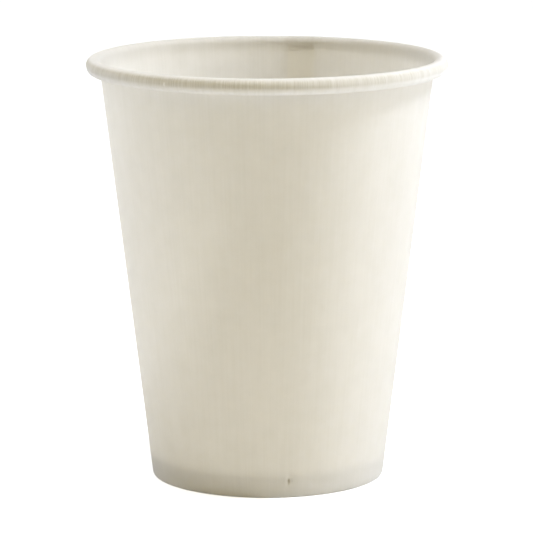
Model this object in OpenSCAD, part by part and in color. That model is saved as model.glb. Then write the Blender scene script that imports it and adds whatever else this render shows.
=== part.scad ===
// Paper coffee cup: a side wall rolled from one blank, and a base disc held in its foot.
// The cup stands on the origin, with the Z axis up through its middle.

/* [Cup] */
// Outside diameter over the rolled rim
rim_d = 90; // [76:0.5:110]
// Outside diameter of the side wall where it meets the table
foot_d = 58; // [44:0.5:70]
// Height from the table to the top of the rim
cup_h = 105.6; // [70:0.2:160]

/* [Side wall] */
// Thickness of the side wall's board
board_t = 0.4; // [0.25:0.05:0.5]

/* [Lap seam] */
// Width of the strip where the blank's two ends are sealed together
lap_w = 7; // [4:0.5:12]
// How deep the two ends are pressed into each other
lap_press = 0.1; // [0.05:0.05:0.15]
// Direction of the seam's inner edge, counted from +X towards +Y
seam_a = 82.5; // [0:0.5:360]
// Angle over which the board climbs from the plain wall onto the lap
climb_a = 24; // [16:2:44]

/* [Rolled rim] */
// Depth of the roll, from the inside of the cup to its outermost point
roll_d = 3.8; // [3.4:0.1:5.4]
// Straight stretch down the outside of the roll, between its bends
roll_flat = 0.3; // [0.1:0.05:1]
// Space between the turned-in edge and the lap
roll_gap = 0.1; // [0.05:0.05:0.2]

/* [Foot] */
// Height of the base disc's underside above the table
recess_h = 6.2; // [5:0.2:12]
// Space between the top of the hem and the base disc
hem_gap = 1; // [0.4:0.1:2]
// How deep the fold is pressed flat where the cup stands on it
foot_press = 0.05; // [0.03:0.01:0.1]

/* [Base disc] */
// Thickness of the base disc's board
base_t = 0.3; // [0.2:0.05:0.5]
// Outside radius of the bend between the disc and its skirt
bend_r = 0.9; // [0.7:0.1:1.5]
// Thickness of the sealing film on each face of the skirt
film_t = 0.05; // [0.03:0.01:0.1]

/* [Hidden] */
$fn = 120;
bend_fn = 48; // for the small bends in section

rim_r = rim_d / 2;
foot_r = foot_d / 2;
roll_r = roll_d / 2;

// The wall and the hem stand on either side of a slot that takes the skirt
slot_w = base_t + 2 * film_t;
fold_r = board_t + slot_w / 2;
fold_z = fold_r - foot_press;

// The wall leans so that it runs from the foot's edge into the side of the roll
roll_x = rim_r - roll_r;
roll_z = cup_h - roll_r;
lean = atan2(roll_x - foot_r, roll_z)
    - asin((roll_r - board_t) / norm([roll_x - foot_r, roll_z]));
fold_x = foot_r + fold_z * tan(lean) - fold_r / cos(lean);
wall_l = (roll_x - fold_x) * sin(lean) + (roll_z - fold_z) * cos(lean);
hem_l = (recess_h - hem_gap - fold_z) / cos(lean);

// At the seam one end of the blank climbs over the other on two arcs, the first one flatter than
// the wall and the second one rounder. The arcs are a hair or two thinner on both faces than the
// board at their ends, and they reach into it and into each other, so that no two faces graze.
lap_step = board_t - lap_press;
half_climb = climb_a / 2;
arc_shift = lap_step / (2 * (1 - cos(half_climb)));
hair = 0.01;
reach_a = 1.5; // angle by which an arc reaches into the next
reach_z = 0.1; // height by which the seam reaches into the fold and the roll
reach_bend = 6; // angle by which the base disc's bend reaches into the disc and the skirt
seam_z = fold_z + board_t;

// The cut edge turns on inside the roll in a smaller bend, clear of the wall and the lap
tuck_r = roll_r - (board_t + lap_step + roll_gap);

// Board bent to part of a ring of outside radius r, clockwise from one whole quarter to another;
// quarter 1 is up and to the right, quarter 2 up and to the left, and so on
module bend(r, first, last) {
    for (quarter = [first:-1:last])
        intersection() {
            difference() {
                circle(r, $fn = bend_fn);
                circle(r - board_t, $fn = bend_fn);
            }
            rotate(90 * (quarter - 1)) square(r);
        }
}

// Frame that stands in the slot's middle on the fold's centre and leans with the wall; the board's
// stretches are drawn in it
module leaning() {
    translate([fold_x, fold_z]) rotate(-lean) children();
}

// The straight wall, thinned by a number of hairs on both faces
module wall_strip(hairs = 0) {
    translate([slot_w / 2 + hairs * hair, 0]) square([board_t - 2 * hairs * hair, wall_l]);
}

// The height over which the seam changes the wall: from above the fold to inside the roll
module seam_band(reach = 0) {
    intersection() {
        translate([0, seam_z - reach]) square([rim_d, roll_z - seam_z + 2 * reach]);
        children();
    }
}

// The board turns inwards under the foot and up again as the hem
module hem_strip() {
    bend(fold_r, 4, 3);
    translate([-fold_r, 0]) square([board_t, hem_l]);
}

// The board turns outwards over the top, runs straight down, and turns under; its cut edge
// goes on round and up inside
module roll_strip() {
    translate([slot_w / 2 + roll_r, wall_l]) {
        bend(roll_r, 2, 1);
        translate([0, -roll_flat]) {
            translate([roll_r - board_t, 0]) square([board_t, roll_flat]);
            bend(roll_r, 0, 0);
            translate([0, tuck_r - roll_r]) bend(tuck_r, -1, -2);
        }
    }
}

// The whole blank in section, cut flat where the cup stands on its fold
module blank_profile() {
    intersection() {
        leaning() {
            hem_strip();
            wall_strip();
            roll_strip();
        }
        square([rim_d, cup_h + roll_d]);
    }
}

// Room cut out of the plain wall for the two arcs of the climb
module climb_room() {
    rotate_extrude(angle = climb_a, start = 0)
        seam_band() leaning() square([fold_r + slot_w / 2, wall_l]);
}

// Two arcs carry the board from the plain wall out over its own start
module climb() {
    translate(-arc_shift * [cos(climb_a), sin(climb_a), 0])
        rotate_extrude(angle = half_climb + reach_a, start = half_climb)
            translate([arc_shift, 0]) seam_band(reach_z) leaning() wall_strip(2);
    translate([arc_shift, 0, 0])
        rotate_extrude(angle = half_climb + 2 * reach_a, start = -reach_a)
            translate([lap_step - arc_shift, 0]) seam_band(reach_z) leaning() wall_strip(1);
}

// The end that lies outside, sealed to the end below it over an even width
module lap() {
    intersection() {
        rotate_extrude() translate([lap_step, 0]) seam_band(reach_z) leaning() wall_strip();
        translate([0, -lap_w, 0]) cube([rim_d, lap_w, cup_h]);
    }
}

module side_wall() {
    color("#efeade") rotate(seam_a) {
        difference() {
            rotate_extrude() blank_profile();
            climb_room();
        }
        climb();
        lap();
    }
}

// A disc of thinner board whose edge is turned down into the slot. The bend is a hair thinner on
// both faces and reaches into the disc and the skirt, so that no two faces graze.
module base_profile() {
    disc_top = recess_h + base_t;
    bend_z = disc_top - bend_r;
    skirt_out = base_t / 2;
    // How far up the leaning skirt the bend's centre lies
    bend_v = (bend_z - fold_z + (skirt_out - bend_r) * sin(lean)) / cos(lean);
    bend_x = fold_x + (skirt_out - bend_r) * cos(lean) + bend_v * sin(lean);
    leaning() translate([-skirt_out, 0]) square([base_t, bend_v]);
    translate([bend_x, bend_z]) difference() {
        circle(bend_r - hair, $fn = bend_fn);
        circle(bend_r - base_t + hair, $fn = bend_fn);
        rotate(reach_bend) translate([-2 * bend_r, -2 * bend_r]) square([2 * bend_r, 4 * bend_r]);
        rotate(-lean - reach_bend) translate([-2 * bend_r, -2 * bend_r])
            square([4 * bend_r, 2 * bend_r]);
    }
    translate([0, recess_h]) square([bend_x, base_t]);
}

module base_disc() {
    color("#e9e3d4") rotate_extrude() base_profile();
}

side_wall();
base_disc();
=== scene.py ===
import bpy
from math import asin, atan2, cos, hypot, pi, radians, sin, tan
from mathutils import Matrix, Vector


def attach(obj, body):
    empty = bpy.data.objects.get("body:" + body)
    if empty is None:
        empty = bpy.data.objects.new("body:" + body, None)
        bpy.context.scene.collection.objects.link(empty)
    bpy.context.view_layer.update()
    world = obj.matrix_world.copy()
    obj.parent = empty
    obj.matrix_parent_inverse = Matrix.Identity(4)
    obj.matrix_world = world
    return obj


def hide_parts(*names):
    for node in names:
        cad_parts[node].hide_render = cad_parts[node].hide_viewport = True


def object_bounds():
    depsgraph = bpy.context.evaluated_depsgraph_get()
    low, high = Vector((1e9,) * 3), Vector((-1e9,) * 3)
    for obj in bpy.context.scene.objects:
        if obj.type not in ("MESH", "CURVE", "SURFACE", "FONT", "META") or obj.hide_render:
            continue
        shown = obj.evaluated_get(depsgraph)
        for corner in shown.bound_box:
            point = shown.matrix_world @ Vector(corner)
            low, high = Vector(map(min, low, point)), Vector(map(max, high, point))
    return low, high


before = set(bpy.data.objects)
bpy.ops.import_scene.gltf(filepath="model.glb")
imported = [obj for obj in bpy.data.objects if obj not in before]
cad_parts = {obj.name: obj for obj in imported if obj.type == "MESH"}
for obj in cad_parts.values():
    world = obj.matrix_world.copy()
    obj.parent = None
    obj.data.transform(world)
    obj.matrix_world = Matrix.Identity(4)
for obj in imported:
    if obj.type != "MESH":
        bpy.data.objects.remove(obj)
cadLow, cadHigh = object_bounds()
mm = 0.001
creaseAngle = radians(40)     # edges sharper than this stay crisp
print("frame loaded, cup height", round(cadHigh.z / mm, 2), "mm")


def linear(hexColour):
    # sRGB hex to linear RGBA
    parts = [int(hexColour[i:i + 2], 16) / 255 for i in (1, 3, 5)]
    return [c / 12.92 if c <= 0.04045 else ((c + 0.055) / 1.055) ** 2.4 for c in parts] + [1.0]


def addNode(tree, kind, settings=None, links=None):
    # settings go to the node's own fields or, by name or number, to its sockets; a link starts
    # from a socket, or from a node's first one
    node = tree.nodes.new(kind)
    for name, value in (settings or {}).items():
        if isinstance(name, str) and hasattr(node, name):
            setattr(node, name, value)
        else:
            node.inputs[name].default_value = value
    for name, source in (links or {}).items():
        socket = source.outputs[0] if isinstance(source, bpy.types.Node) else source
        tree.links.new(socket, node.inputs[name])
    return node


def newMaterial(name):
    material = bpy.data.materials.new(name)
    material.use_nodes = True
    material.node_tree.nodes.clear()
    return material.node_tree


def deselectAll():
    if bpy.context.object and bpy.context.object.mode != "OBJECT":
        bpy.ops.object.mode_set(mode="OBJECT")
    bpy.ops.object.select_all(action="DESELECT")


def selectVertices(piece, wanted):
    bpy.ops.object.mode_set(mode="EDIT")
    bpy.ops.mesh.select_mode(type="VERT")
    bpy.ops.mesh.select_all(action="DESELECT")
    bpy.ops.object.mode_set(mode="OBJECT")
    for vertex in piece.data.vertices:
        vertex.select = wanted(vertex)
    bpy.ops.object.mode_set(mode="EDIT")


def applyModifier(piece, kind, settings):
    modifier = piece.modifiers.new(kind.title(), kind)
    for name, value in settings.items():
        setattr(modifier, name, value)
    bpy.ops.object.modifier_apply(modifier=modifier.name)


# The side wall: one blank of board. Lengths in mm; seam, climb and directions as in the CAD.
sideWall = {
    "board": 0.4,
    "slot": 0.4,            # between wall and hem, filled by the base disc's skirt
    "footDiameter": 58.0,
    "footPress": 0.05,
    "hemTop": 5.2,
    "rollDepth": 3.8,
    "rollFlat": 0.3,
    "rollGap": 0.1,
    "lapWidth": 7.0,
    "lapStep": 0.3,         # how far out the lap stands in the CAD
    "lapAngle": 15.0,       # degrees of overlap before the outer end is cut to the lap's width
    "fadeSteps": 8,         # steps over which the inner end gets thinner
    "seamDirection": 82.5,
    "climb": 24.0,          # degrees over which the board climbs onto the lap
    # in the lap, offset from the plain board and thickness of the end outside and the one inside;
    # the dies squeeze both to one board's thickness at the fold and the roll
    "lapAtFold": ((0.15, 0.1), (-0.055, 0.29)),
    "lapOnWall": ((0.35, 0.34), (0, 0.34)),
    "lapAtRoll": ((0.055, 0.29), (-0.15, 0.1)),
    "stepsAround": 720,
    "cuts": (3, 8, 16, 8, 6),   # hem, fold, the roll's top, its quarter below, and its tucked edge
    # heights of the wall's bands, from the foot up to near the roll
    "wallCuts": (1.5, 1.2, 1.2, 1.2, 4, 8, 12, 12, 12, 12, 12, 9, 5),
    "waves": (25.0, 0.05),      # length and depth of the board's slow waves
    "rollWaves": (3.0, 0.05),   # the same for the roll, where the board was forced round
    # handling marks in the outer face: direction in degrees, height, depth inwards, reach and colour; the
    # raised fibre's white is a painted highlight, the dent's darker colour is painted shade
    "marks": {
        "fibre_on_the_roll": {"direction": -123.0, "height": 103.6, "depth": -0.14, "reach": 0.7,
                              "colour": "#ffffff"},
        "dent_above_the_foot": {"direction": -79.9, "height": 2.3, "depth": 0.28, "reach": 0.9,
                                "colour": "#b3ab93"}},
}
rimRadius = cadHigh.x / mm
cupHeight = cadHigh.z / mm

foldRadius = sideWall["board"] + sideWall["slot"] / 2
foldZ = foldRadius - sideWall["footPress"]
rollRadius = sideWall["rollDepth"] / 2
rollX = rimRadius - rollRadius
rollZ = cupHeight - rollRadius
footRadius = sideWall["footDiameter"] / 2
footToRoll = hypot(rollX - footRadius, rollZ)
lean = atan2(rollX - footRadius, rollZ) - asin((rollRadius - sideWall["board"]) / footToRoll)
foldX = footRadius + foldZ * tan(lean) - foldRadius / cos(lean)
wallLength = (rollX - foldX) * sin(lean) + (rollZ - foldZ) * cos(lean)
hemLength = (sideWall["hemTop"] - foldZ) / cos(lean)
tuckRadius = rollRadius - sideWall["board"] - sideWall["lapStep"] - sideWall["rollGap"]

seam = radians(sideWall["seamDirection"])
outAtSeam = (cos(seam), sin(seam), 0)
acrossSeam = (-sin(seam), cos(seam), 0)


def onProfile(across, up):
    # a point of the leaning section, across and up in mm from the fold's centre
    x = foldX + across * cos(lean) + up * sin(lean)
    z = foldZ - across * sin(lean) + up * cos(lean)
    return Vector((x * mm, 0, z * mm))


def startVertex(name, place):
    # a plane merged to one vertex, from which a section is drawn
    deselectAll()
    bpy.ops.mesh.primitive_plane_add(size=mm, location=(0, 0, 0))
    piece = bpy.context.object
    piece.name = piece.data.name = name
    bpy.ops.object.mode_set(mode="EDIT")
    bpy.ops.mesh.select_mode(type="VERT")
    bpy.ops.mesh.select_all(action="SELECT")
    bpy.ops.mesh.merge(type="CENTER")
    bpy.ops.transform.translate(value=place)
    return piece


def drawTo(start, end, cuts=1):
    # extrudes the last vertex in even steps
    for _ in range(cuts):
        bpy.ops.mesh.extrude_region_move(TRANSFORM_OT_translate={"value": (end - start) / cuts})


def drawArc(centre, turn, steps):
    # about +Y a positive angle runs from +X towards +Z
    bpy.ops.mesh.spin(steps=steps, angle=radians(turn), center=centre, axis=(0, 1, 0))


def smooth(share):
    share = min(max(share, 0), 1)
    return share * share * (3 - 2 * share)


def addWaves(piece, name, size, group=""):
    # uneven board, moved towards the blank's outer face
    length, depth = size
    waves = bpy.data.textures.new(name, "CLOUDS")
    waves.noise_scale = length * mm
    applyModifier(piece, "DISPLACE", {
        "strength": depth * mm, "mid_level": 0, "texture": waves, "vertex_group": group})


def addThickness(piece, board, group=""):
    # the second face takes the piece's second material and the cut edge its third one
    applyModifier(piece, "SOLIDIFY", {
        "thickness": board * mm, "offset": 0, "use_even_offset": True, "use_quality_normals": True,
        "vertex_group": group, "material_offset": 1, "material_offset_rim": 2})


def pressMark(piece, mark):
    # the outer face's nearest vertex goes inwards and takes its neighbours along
    direction = radians(mark["direction"])
    outwards = Vector((cos(direction), sin(direction), 0))
    spot = outwards * cadHigh.x + Vector((0, 0, mark["height"] * mm))
    nearest = min(piece.data.vertices, key=lambda vertex: (vertex.co - spot).length).index
    selectVertices(piece, lambda vertex: vertex.index == nearest)
    bpy.ops.transform.translate(
        value=-outwards * mark["depth"] * mm, use_proportional_edit=True, use_proportional_connected=True,
        proportional_edit_falloff="SMOOTH", proportional_size=mark["reach"] * mm)
    bpy.ops.object.mode_set(mode="OBJECT")
    return piece.data.vertices[nearest].co.copy()


def drawBlank():
    # the blank in section, from the hem's edge to the cut edge inside the roll; returns the
    # counts of its points, of those before the wall and of those before the roll
    board, flat = sideWall["board"], sideWall["rollFlat"]
    middle = (sideWall["slot"] + board) / 2
    hemCuts, foldCuts, topCuts, quarterCuts, tuckCuts = sideWall["cuts"]
    wall = startVertex("wall_sheet", onProfile(-middle, hemLength))
    drawTo(onProfile(-middle, hemLength), onProfile(-middle, 0), hemCuts)
    drawArc(onProfile(0, 0), 180, foldCuts)
    up = 0
    for cut in sideWall["wallCuts"]:
        drawTo(onProfile(middle, up), onProfile(middle, up + cut))
        up += cut
    drawTo(onProfile(middle, up), onProfile(middle, wallLength))
    centre = middle + rollRadius - board / 2
    side = centre + rollRadius - board / 2
    drawArc(onProfile(centre, wallLength), -180, topCuts)
    drawTo(onProfile(side, wallLength), onProfile(side, wallLength - flat))
    drawArc(onProfile(centre, wallLength - flat), -90, quarterCuts)
    drawArc(onProfile(centre, wallLength - flat + tuckRadius - rollRadius), -180, tuckCuts)
    bpy.ops.object.mode_set(mode="OBJECT")
    foldRings = hemCuts + foldCuts + 1
    return wall, len(wall.data.vertices), foldRings, foldRings + len(sideWall["wallCuts"])


def makeSideWall():
    wall, rings, foldRings, wallRings = drawBlank()

    # once round and a little more, from the outer end of the blank to the inner one
    board = sideWall["board"]
    stepAngle = 360 / sideWall["stepsAround"]
    lapSteps = round(sideWall["lapAngle"] / stepAngle)
    fadeSteps = sideWall["fadeSteps"]
    steps = sideWall["stepsAround"] + lapSteps
    wall.rotation_euler.z = radians(sideWall["seamDirection"] - lapSteps * stepAngle)
    bpy.ops.object.transform_apply(location=False, rotation=True, scale=False)
    applyModifier(wall, "SCREW", {
        "angle": radians(steps * stepAngle), "steps": steps, "render_steps": steps})

    # the board climbs at its outer end, and is thinner where the two ends are pressed together
    outwards = wall.vertex_groups.new(name="outwards")
    inwards = wall.vertex_groups.new(name="inwards")
    thickness = wall.vertex_groups.new(name="thickness")
    roll = wall.vertex_groups.new(name="roll")
    climbSteps = sideWall["climb"] / stepAngle
    bands = ((0, foldRings, "lapAtFold"), (foldRings, wallRings, "lapOnWall"),
             (wallRings, rings, "lapAtRoll"))
    for step in range(steps + 1):
        outerShare = 1 - smooth((step - lapSteps) / climbSteps)
        innerShare = smooth((step - steps + lapSteps + fadeSteps) / fadeSteps)
        for first, last, place in bands:
            outer, inner = sideWall[place]
            ring = range(step * rings + first, step * rings + last)
            offset = outerShare * outer[0] + innerShare * inner[0]
            thinned = outerShare * (board - outer[1]) + innerShare * (board - inner[1])
            outwards.add(ring, max(offset, 0), "REPLACE")
            inwards.add(ring, max(-offset, 0), "REPLACE")
            thickness.add(ring, 1 - thinned / board, "REPLACE")
            roll.add(ring, 1 if place == "lapAtRoll" else 0, "REPLACE")

    # the outer end is cut at an even width from the inner one
    selectVertices(wall, lambda vertex: vertex.index // rings <= lapSteps)
    lapEnd = -Vector(acrossSeam) * sideWall["lapWidth"] * mm
    bpy.ops.mesh.bisect(plane_co=lapEnd, plane_no=acrossSeam, clear_inner=True)
    bpy.ops.mesh.select_all(action="SELECT")
    bpy.ops.mesh.normals_make_consistent(inside=False)
    bpy.ops.mesh.flip_normals()    # the blank's outer face looks out of the cup
    bpy.ops.object.mode_set(mode="OBJECT")
    for group, way in (("outwards", 1), ("inwards", -1)):
        applyModifier(wall, "DISPLACE", {"strength": way * mm, "mid_level": 0, "vertex_group": group})
    addWaves(wall, "board_waves", sideWall["waves"])
    addWaves(wall, "roll_waves", sideWall["rollWaves"], "roll")
    addThickness(wall, board, "thickness")

    # pressed flat where the cup stands on it
    selectVertices(wall, lambda vertex: vertex.co.z < 0)
    bpy.ops.transform.resize(value=(1, 1, 0), center_override=(0, 0, 0))
    bpy.ops.object.mode_set(mode="OBJECT")
    markPlaces = [pressMark(wall, mark) for mark in sideWall["marks"].values()]
    bpy.ops.object.shade_smooth_by_angle(angle=creaseAngle)
    print("side wall:", rings, "rings of board,", len(wall.data.polygons), "faces")
    return wall, markPlaces


# The base disc: thinner board with its edge turned down into the slot. Lengths in mm.
baseDisc = {
    "board": 0.3,
    "underside": 6.2,
    "bend": 0.9,
    "skirtEnd": 0.0,         # how far up from the fold's centre the skirt's cut edge lies
    "dome": 0.25,            # how far the middle sags
    "puckers": 60,           # small pleats where the edge was drawn down
    "puckerDepth": 0.08,
    "puckerReach": 2.2,      # how far in from the bend they run out
    "stepsAround": 360,
    "cuts": (6, 8, 14),      # in the skirt, the bend and the disc
    "mergeWithin": 0.01,     # the turned section's points at the axis become one
}


def makeBaseDisc():
    board, bend = baseDisc["board"], baseDisc["bend"]
    skirtCuts, bendCuts, discCuts = baseDisc["cuts"]
    top = baseDisc["underside"] + board
    # the bend's centre, as high up the leaning skirt as the disc's height asks
    centreUp = (top - bend - foldZ + (board / 2 - bend) * sin(lean)) / cos(lean)
    centre = onProfile(board / 2 - bend, centreUp)
    disc = startVertex("base_sheet", onProfile(0, baseDisc["skirtEnd"]))
    drawTo(onProfile(0, baseDisc["skirtEnd"]), onProfile(0, centreUp), skirtCuts)
    drawArc(centre, 90 + lean * 180 / pi, bendCuts)
    rim = Vector((centre.x, 0, (top - board / 2) * mm))
    drawTo(rim, Vector((0, 0, rim.z)), discCuts)
    bpy.ops.object.mode_set(mode="OBJECT")
    steps = baseDisc["stepsAround"]
    doubles = baseDisc["mergeWithin"] * mm
    applyModifier(disc, "SCREW", {"angle": 2 * pi, "steps": steps, "render_steps": steps,
                                  "use_merge_vertices": True, "merge_threshold": doubles})
    bpy.ops.object.mode_set(mode="EDIT")
    bpy.ops.mesh.select_all(action="SELECT")
    bpy.ops.mesh.remove_doubles(threshold=doubles)
    bpy.ops.mesh.normals_make_consistent(inside=False)
    bpy.ops.object.mode_set(mode="OBJECT")

    dome = disc.vertex_groups.new(name="dome")
    puckers = disc.vertex_groups.new(name="puckers")
    for vertex in disc.data.vertices:
        radius = hypot(vertex.co.x, vertex.co.y)
        dome.add([vertex.index], smooth(1 - radius / rim.x), "REPLACE")
        wave = (1 + cos(baseDisc["puckers"] * atan2(vertex.co.y, vertex.co.x))) / 2
        inFromBend = smooth(1 - (rim.x - radius) / (baseDisc["puckerReach"] * mm))
        onDisc = smooth((vertex.co.z - centre.z) / (bend * mm))
        puckers.add([vertex.index], wave * inFromBend * onDisc, "REPLACE")
    for group, depth in (("dome", baseDisc["dome"]), ("puckers", baseDisc["puckerDepth"])):
        applyModifier(disc, "DISPLACE", {
            "direction": "Z", "strength": -depth * mm, "mid_level": 0, "vertex_group": group})
    addThickness(disc, board)
    bpy.ops.object.shade_smooth_by_angle(angle=creaseAngle)
    print("base disc:", len(disc.data.polygons), "faces")
    return disc


# Paperboard: bleached pulp pressed to a sheet, so matt, faintly mottled, and it lets some light
# through, which comes out warmer. Sizes in mm; share is that of the light that goes through.
boards = {
    "calendered_board": {        # the bare outer face, smoothed between rollers: fine grain, no shine
        "light": "#faf9f8", "dark": "#f0efec", "through": "#faf8f2", "share": 0.5,
        "roughness": (0.78, 0.9), "specular": 0.3, "grain": 0.35, "grainDepth": 0.012},
    "coated_board": {            # the drink's side under a melted film: smoother, warmer, a slight sheen
        "light": "#fbfaf6", "dark": "#f4f2eb", "through": "#fbf9f0", "share": 0.42,
        "roughness": (0.38, 0.48), "specular": 0.5, "grain": 0.5, "grainDepth": 0.006},
    "cut_board": {               # the blank's cut edges: open fibres, a little darker
        "light": "#f2efe8", "dark": "#e6e1d6", "through": "#faf6ec", "share": 0.3,
        "roughness": (0.9, 1.0), "specular": 0.2, "grain": 0.15, "grainDepth": 0.03},
    "coated_base_board": {       # the base's upper face: coated stock with a filler, so closer to opaque
        "light": "#fbf9f5", "dark": "#f4f1ea", "through": "#fbf8f0", "share": 0.12,
        "roughness": (0.38, 0.48), "specular": 0.5, "grain": 0.5, "grainDepth": 0.008},
    "bare_base_board": {         # its underside: bare and rougher
        "light": "#f8f6f2", "dark": "#eeebe4", "through": "#faf8f3", "share": 0.12,
        "roughness": (0.85, 0.95), "specular": 0.25, "grain": 0.3, "grainDepth": 0.016},
}
# materials by place on each piece: its outer face, which is the upper one on the base disc, its
# other face and its cut edge
faces = {
    "wall_sheet": ("calendered_board", "coated_board", "cut_board"),
    "base_sheet": ("coated_base_board", "bare_base_board", "cut_board"),
}
fibres = {
    "streak": 0.7, "streakStretch": 0.03, "streakDepth": 0.008,   # board drawn out along the grain
    "mottle": 5.0,
    "shadeFrom": 0.7, "shadeTo": 1.3,          # streaks and mottle added, from dark to light board
    "shineFrom": 0.3, "shineTo": 0.7,          # mottle, from the board's smooth to its rough places
    "crimp": 0.22, "crimpDepth": 0.016,        # the roll's cross wrinkles
    "crimpTop": 0.65, "crimpBottom": 0.35,     # their noise from ridge to valley
    # painted shade on the roll's upper outside: share of its colour mixed in on the wrinkles' ridges and
    # in their valleys
    "paintedCrimpShade": (0.26, 0.5), "paintedCrimpShadeColour": "#b9b39f",
    "rollFrom": 42.6, "rollTo": 44.4,          # distance from the axis where the roll's board begins
    "browFrom": 43.9, "browTo": 44.6,          # and where its outside begins, where the painted shade lies
    "browBelow": 0.9, "browAbove": 0.2,        # how far under the roll's centre the painted shade fades out
    "markStretch": 0.35, "markShade": 0.8,
    "markEdge": 1 / 2, "markCore": 1 / 6,      # how far a mark's painted colour goes (highlight on the fibre, shade in the dent), as shares of its reach
    "lapShare": 0.2,          # the sealed ends pass more light each, as the film fills their pores
    "lapFade": 1.0,           # mm under the roll over which that begins
    "sealedShare": 0.97,      # share of light through the two faces sealed to each other in the lap
    # how far those lie from the roll's centre and the line down from it, on the wall and at the roll
    "sealedAt": (1.495, 1.74), "sealedWithin": 0.07,
    "rollShare": -0.38,       # the roll passes less, as its board was crushed to a denser one
}


def placeOnCup(tree):
    # a point's place, its direction and distance from the cup's axis, and its height
    place = addNode(tree, "ShaderNodeTexCoord").outputs["Object"]
    flat = addNode(tree, "ShaderNodeVectorMath", {"operation": "MULTIPLY", 1: (1, 1, 0)}, {0: place})
    direction = addNode(tree, "ShaderNodeVectorMath", {"operation": "NORMALIZE"}, {0: flat})
    radius = addNode(tree, "ShaderNodeVectorMath", {"operation": "LENGTH"}, {0: flat})
    parts = addNode(tree, "ShaderNodeSeparateXYZ", links={0: place})
    return place, direction.outputs[0], radius.outputs["Value"], parts.outputs["Z"]


def addMarksWithPaintedLight(tree, place, colour):
    # each handling mark: a spot drawn out upwards and painted, white as a highlight on the raised fibre,
    # darker as shade in the dent
    for spot, mark in zip(markPlaces, sideWall["marks"].values()):
        away = addNode(tree, "ShaderNodeVectorMath", {"operation": "SUBTRACT", 1: spot}, {0: place})
        drawn = addNode(tree, "ShaderNodeVectorMath", {
            "operation": "MULTIPLY", 1: (1, 1, fibres["markStretch"])}, {0: away})
        distance = addNode(tree, "ShaderNodeVectorMath", {"operation": "LENGTH"}, {0: drawn})
        inMark = addNode(tree, "ShaderNodeMapRange", {
            "From Min": mark["reach"] * fibres["markEdge"] * mm,
            "From Max": mark["reach"] * fibres["markCore"] * mm,
            "To Max": fibres["markShade"]}, {"Value": distance.outputs["Value"]})
        colour = addNode(tree, "ShaderNodeMix", {"data_type": "RGBA", 7: linear(mark["colour"])},
                         {0: inMark, 6: colour}).outputs[2]
    return colour


def addPaintedCrimpShade(tree, onCup, crimps, colour):
    # painted shade on the roll's upper outside: a darker colour mixed in everywhere there, more in the
    # wrinkles' valleys than on their ridges
    _, _, radius, height = onCup
    outside = addNode(tree, "ShaderNodeMapRange", {
        "From Min": fibres["browFrom"] * mm, "From Max": fibres["browTo"] * mm}, {"Value": radius})
    upper = addNode(tree, "ShaderNodeMapRange", {
        "From Min": (rollZ - fibres["browBelow"]) * mm,
        "From Max": (rollZ - fibres["browAbove"]) * mm}, {"Value": height})
    paintedShadeOnBrow = addNode(tree, "ShaderNodeMath", {"operation": "MULTIPLY"}, {0: outside, 1: upper})
    ridge, valley = fibres["paintedCrimpShade"]
    valleys = addNode(tree, "ShaderNodeMapRange", {
        "From Min": fibres["crimpTop"], "From Max": fibres["crimpBottom"],
        "To Min": ridge, "To Max": valley}, {"Value": crimps})
    paintedShadeInValleys = addNode(tree, "ShaderNodeMath", {"operation": "MULTIPLY"}, {0: valleys, 1: paintedShadeOnBrow})
    return addNode(tree, "ShaderNodeMix", {"data_type": "RGBA", 7: linear(fibres["paintedCrimpShadeColour"])},
                   {0: paintedShadeInValleys, 6: colour}).outputs[2]


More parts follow.
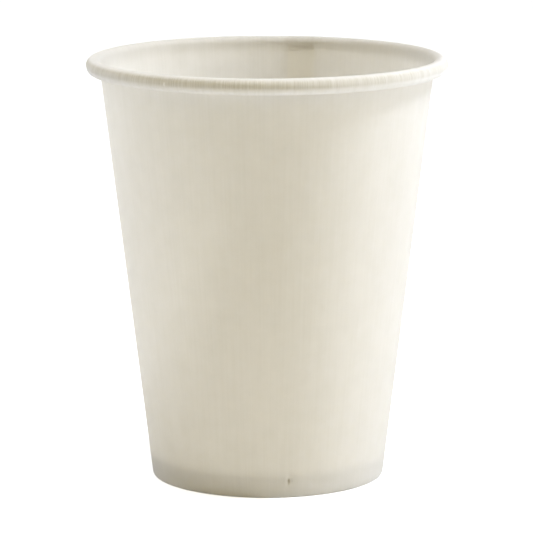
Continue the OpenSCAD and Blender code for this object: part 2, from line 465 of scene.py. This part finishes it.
def shareThrough(tree, onCup, onRoll, plain):
    # how much light the side wall's board passes: more through the lap's two ends and nearly all
    # through the faces sealed to each other, less through the roll
    place, direction, radius, height = onCup
    halfLap = sideWall["lapWidth"] / 2 * mm
    fromSeam = addNode(tree, "ShaderNodeVectorMath", {"operation": "DOT_PRODUCT", 1: acrossSeam},
                       {0: place})
    seamSide = addNode(tree, "ShaderNodeVectorMath", {"operation": "DOT_PRODUCT", 1: outAtSeam},
                       {0: direction})
    inBand = addNode(tree, "ShaderNodeMath", {"operation": "COMPARE", 1: -halfLap, 2: halfLap},
                     {0: fromSeam.outputs["Value"]})
    inLap = addNode(tree, "ShaderNodeMath", {"operation": "MULTIPLY", "use_clamp": True},
                    {0: inBand, 1: seamSide.outputs["Value"]})

    # how deep in the board a place lies: in the leaning section, round the roll as well
    section = addNode(tree, "ShaderNodeCombineXYZ", links={"X": radius, "Z": height})
    rollCentre = onProfile(sideWall["slot"] / 2 + rollRadius, wallLength)
    fromRoll = addNode(tree, "ShaderNodeVectorMath", {"operation": "SUBTRACT", 1: rollCentre},
                       {0: section})
    across = addNode(tree, "ShaderNodeVectorMath", {
        "operation": "DOT_PRODUCT", 1: (cos(lean), 0, -sin(lean))}, {0: fromRoll})
    up = addNode(tree, "ShaderNodeVectorMath", {
        "operation": "DOT_PRODUCT", 1: (sin(lean), 0, cos(lean))}, {0: fromRoll})
    aboveRoll = addNode(tree, "ShaderNodeMath", {"operation": "MAXIMUM", 1: 0}, {0: up.outputs["Value"]})
    belowRoll = addNode(tree, "ShaderNodeMapRange", {"From Min": 0, "From Max": -fibres["lapFade"] * mm},
                        {"Value": up.outputs["Value"]})
    nearest = addNode(tree, "ShaderNodeCombineXYZ", links={"X": across.outputs["Value"], "Y": aboveRoll})
    depth = addNode(tree, "ShaderNodeVectorMath", {"operation": "LENGTH"}, {0: nearest})
    onWall, atRoll = fibres["sealedAt"]
    contact = addNode(tree, "ShaderNodeMapRange", {
        "From Min": onProfile(0, sum(sideWall["wallCuts"])).z, "From Max": onProfile(0, wallLength).z,
        "To Min": onWall * mm, "To Max": atRoll * mm}, {"Value": height})
    between = addNode(tree, "ShaderNodeMath", {"operation": "COMPARE", 2: fibres["sealedWithin"] * mm},
                      {0: depth.outputs["Value"], 1: contact})

    onSeal = addNode(tree, "ShaderNodeMath", {"operation": "MULTIPLY"}, {0: inLap, 1: between})
    lapOnWall = addNode(tree, "ShaderNodeMath", {"operation": "MULTIPLY"}, {0: inLap, 1: belowRoll})
    lapped = addNode(tree, "ShaderNodeMath", {
        "operation": "MULTIPLY_ADD", 1: fibres["lapShare"], 2: plain}, {0: lapOnWall})
    sealed = addNode(tree, "ShaderNodeMath", {
        "operation": "MULTIPLY_ADD", 1: fibres["sealedShare"] - fibres["lapShare"] - plain},
        {0: onSeal, 2: lapped})
    return addNode(tree, "ShaderNodeMath", {"operation": "MULTIPLY_ADD", 1: fibres["rollShare"]},
                   {0: onRoll, 2: sealed})


def makeBoard(name, look):
    tree = newMaterial(name)
    onCup = placeOnCup(tree)
    place, direction, radius, _ = onCup
    around = addNode(tree, "ShaderNodeVectorMath", {"operation": "SCALE", "Scale": rimRadius * mm},
                     {0: direction})
    shortened = addNode(tree, "ShaderNodeVectorMath", {
        "operation": "MULTIPLY", 1: (0, 0, fibres["streakStretch"])}, {0: place})
    drawn = addNode(tree, "ShaderNodeVectorMath", {"operation": "ADD"}, {0: around, 1: shortened})
    streaks = addNode(tree, "ShaderNodeTexNoise", {
        "Scale": 1 / (fibres["streak"] * mm), "Detail": 3, "Roughness": 0.6}, {"Vector": drawn})
    mottle = addNode(tree, "ShaderNodeTexNoise", {
        "Scale": 1 / (fibres["mottle"] * mm), "Detail": 4, "Roughness": 0.65}, {"Vector": place})
    grain = addNode(tree, "ShaderNodeTexNoise", {
        "Scale": 1 / (look["grain"] * mm), "Detail": 2}, {"Vector": place})
    crimps = addNode(tree, "ShaderNodeTexNoise", {
        "Scale": 1 / (fibres["crimp"] * mm), "Detail": 1}, {"Vector": drawn})
    onRoll = addNode(tree, "ShaderNodeMapRange", {
        "From Min": fibres["rollFrom"] * mm, "From Max": fibres["rollTo"] * mm}, {"Value": radius})
    rollCrimps = addNode(tree, "ShaderNodeMath", {"operation": "MULTIPLY"}, {0: crimps, 1: onRoll})

    shade = addNode(tree, "ShaderNodeMath", {"operation": "ADD"}, {0: streaks, 1: mottle})
    spread = addNode(tree, "ShaderNodeMapRange", {
        "From Min": fibres["shadeFrom"], "From Max": fibres["shadeTo"]}, {"Value": shade})
    even = addNode(tree, "ShaderNodeMix", {
        "data_type": "RGBA", 6: linear(look["dark"]), 7: linear(look["light"])}, {0: spread})
    # painted shade on the roll's upper outside, heavier in the wrinkles' valleys
    colour = addPaintedCrimpShade(tree, onCup, crimps, even.outputs[2])
    if name == "calendered_board":
        # the handling marks' painted highlight and painted shade
        colour = addMarksWithPaintedLight(tree, place, colour)
    smoothest, roughest = look["roughness"]
    roughness = addNode(tree, "ShaderNodeMapRange", {
        "From Min": fibres["shineFrom"], "From Max": fibres["shineTo"],
        "To Min": smoothest, "To Max": roughest}, {"Value": mottle})

    # the height in mm, summed over the streaks, the grain and the roll's wrinkles
    relief = addNode(tree, "ShaderNodeCombineXYZ", links={"X": streaks, "Y": grain, "Z": rollCrimps})
    heights = addNode(tree, "ShaderNodeVectorMath", {
        "operation": "DOT_PRODUCT",
        1: (fibres["streakDepth"], look["grainDepth"], fibres["crimpDepth"])}, {0: relief})
    bump = addNode(tree, "ShaderNodeBump", {"Strength": 1, "Distance": mm},
                   {"Height": heights.outputs["Value"]})
    face = addNode(tree, "ShaderNodeBsdfPrincipled", {"IOR": 1.5, "Specular IOR Level": look["specular"]},
                   {"Base Color": colour, "Roughness": roughness, "Normal": bump})
    through = addNode(tree, "ShaderNodeBsdfTranslucent", {"Color": linear(look["through"])},
                      {"Normal": bump})
    board = addNode(tree, "ShaderNodeMixShader", {0: look["share"]}, {1: face, 2: through})
    if name in faces["wall_sheet"]:
        share = shareThrough(tree, onCup, onRoll, look["share"])
        tree.links.new(share.outputs[0], board.inputs[0])
    addNode(tree, "ShaderNodeOutputMaterial", links={"Surface": board})


wall, markPlaces = makeSideWall()
disc = makeBaseDisc()
for name, look in boards.items():
    makeBoard(name, look)
for piece in (wall, disc):
    for name in faces[piece.name]:
        piece.data.materials.append(bpy.data.materials[name])
print("boards on the pieces:", ", ".join(boards))

for piece, node, slotName in ((wall, "side_wall", "wall_board"), (disc, "base_disc", "base_board")):
    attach(piece, "root")
    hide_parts(node)

# camera as the photo was taken; its image is taken as 533 x 533. Metres, radians and mm.
photoView = {"place": (0, -0.889057, 0.216449), "turn": (radians(90 - 10.45), 0.00199, -0.0001),
             "sensor": 36, "lens": 243.57}
camera = bpy.data.objects.new("camera", bpy.data.cameras.new("camera"))
bpy.context.scene.collection.objects.link(camera)
camera.location = photoView["place"]
camera.rotation_euler = photoView["turn"]
camera.data.sensor_width = photoView["sensor"]
camera.data.lens = photoView["lens"]
bpy.context.scene.camera = camera


# a white table in a white room. What the camera and a sheen see is white, while the cup itself
# is lit by the soft boxes and by what the table throws back.
room = {"table": "#f2f2f2", "tableGlow": 0.55, "tableSize": 8.0, "dim": "#262626", "white": "#ffffff"}


def seenDirectly(tree):
    # not Is Transmission Ray: the board lets light through, and would glow with the room's white
    path = addNode(tree, "ShaderNodeLightPath")
    return addNode(tree, "ShaderNodeMath", {"operation": "MAXIMUM"},
                   {0: path.outputs["Is Camera Ray"], 1: path.outputs["Is Glossy Ray"]})


def makeFloor():
    deselectAll()
    bpy.ops.mesh.primitive_plane_add(size=room["tableSize"], location=(0, 0, 0))
    floor = bpy.context.object
    floor.name = "floor"
    tree = newMaterial("white_table")    # a matt table top, lit up to the photo's white background
    shader = addNode(tree, "ShaderNodeBsdfDiffuse", {"Color": linear(room["table"])})
    strength = addNode(tree, "ShaderNodeMath", {"operation": "MULTIPLY", 1: room["tableGlow"]},
                       {0: seenDirectly(tree)})
    glow = addNode(tree, "ShaderNodeEmission", {"Color": linear(room["white"])}, {"Strength": strength})
    both = addNode(tree, "ShaderNodeAddShader", links={0: shader, 1: glow})
    # from below the table is left out, so that the foot can be looked at
    side = addNode(tree, "ShaderNodeNewGeometry")
    clear = addNode(tree, "ShaderNodeBsdfTransparent")
    table = addNode(tree, "ShaderNodeMixShader", links={0: side.outputs["Backfacing"], 1: both, 2: clear})
    addNode(tree, "ShaderNodeOutputMaterial", links={"Surface": table})
    floor.data.materials.append(bpy.data.materials["white_table"])


def makeWorld():
    world = bpy.data.worlds.new("studio")
    bpy.context.scene.world = world
    world.use_nodes = True
    tree = world.node_tree
    tree.nodes.clear()
    dim = addNode(tree, "ShaderNodeBackground", {"Color": linear(room["dim"])})
    white = addNode(tree, "ShaderNodeBackground", {"Color": linear(room["white"])})
    mix = addNode(tree, "ShaderNodeMixShader", links={0: seenDirectly(tree), 1: dim, 2: white})
    addNode(tree, "ShaderNodeOutputWorld", links={"Surface": mix})


# soft boxes round the table: place in metres, width, watts and colour. The hard one casts the
# roll's shadow on the wall; the light from over the camera is warm, so the shaded front is too.
softBoxes = {
    "upper_right": ((0.8, 0, 1.1), 0.3, 14.4, "#ecf2ff"),
    "right": ((1.3, -0.1, 0.28), 0.8, 8.2, "#fffffd"),
    "left": ((-1.3, 0, 0.4), 0.8, 1.6, "#fffffd"),
    "left_behind": ((-0.92, 0.92, 0.4), 0.8, 5.0, "#f6f8ff"),
    "upper_left": ((-0.75, 0, 1.15), 0.8, 6.1, "#f6f8ff"),
    "overhead": ((0, 0, 1.36), 0.8, 2.7, "#fff0c4"),
    "over_camera": ((0, -0.9, 1.0), 0.8, 2.3, "#ffde4a"),
    "off_the_table": ((0, -0.8, 0.1), 0.25, 0.4, "#ffe254"),
}


def makeSoftBoxes():
    for name, (place, width, watts, colour) in softBoxes.items():
        light = bpy.data.lights.new(name, "AREA")
        light.size = width
        light.energy = watts
        light.color = linear(colour)[:3]
        lamp = bpy.data.objects.new(name, light)
        lamp.location = place
        aim = Vector((0, 0, cadHigh.z / 2)) - Vector(place)
        lamp.rotation_euler = aim.to_track_quat("-Z", "Y").to_euler()
        lamp.visible_camera = False
        bpy.context.scene.collection.objects.link(lamp)


makeFloor()
makeWorld()
makeSoftBoxes()
bpy.context.scene.view_settings.view_transform = "Standard"
print("stage set:", len(softBoxes), "soft boxes round the table")
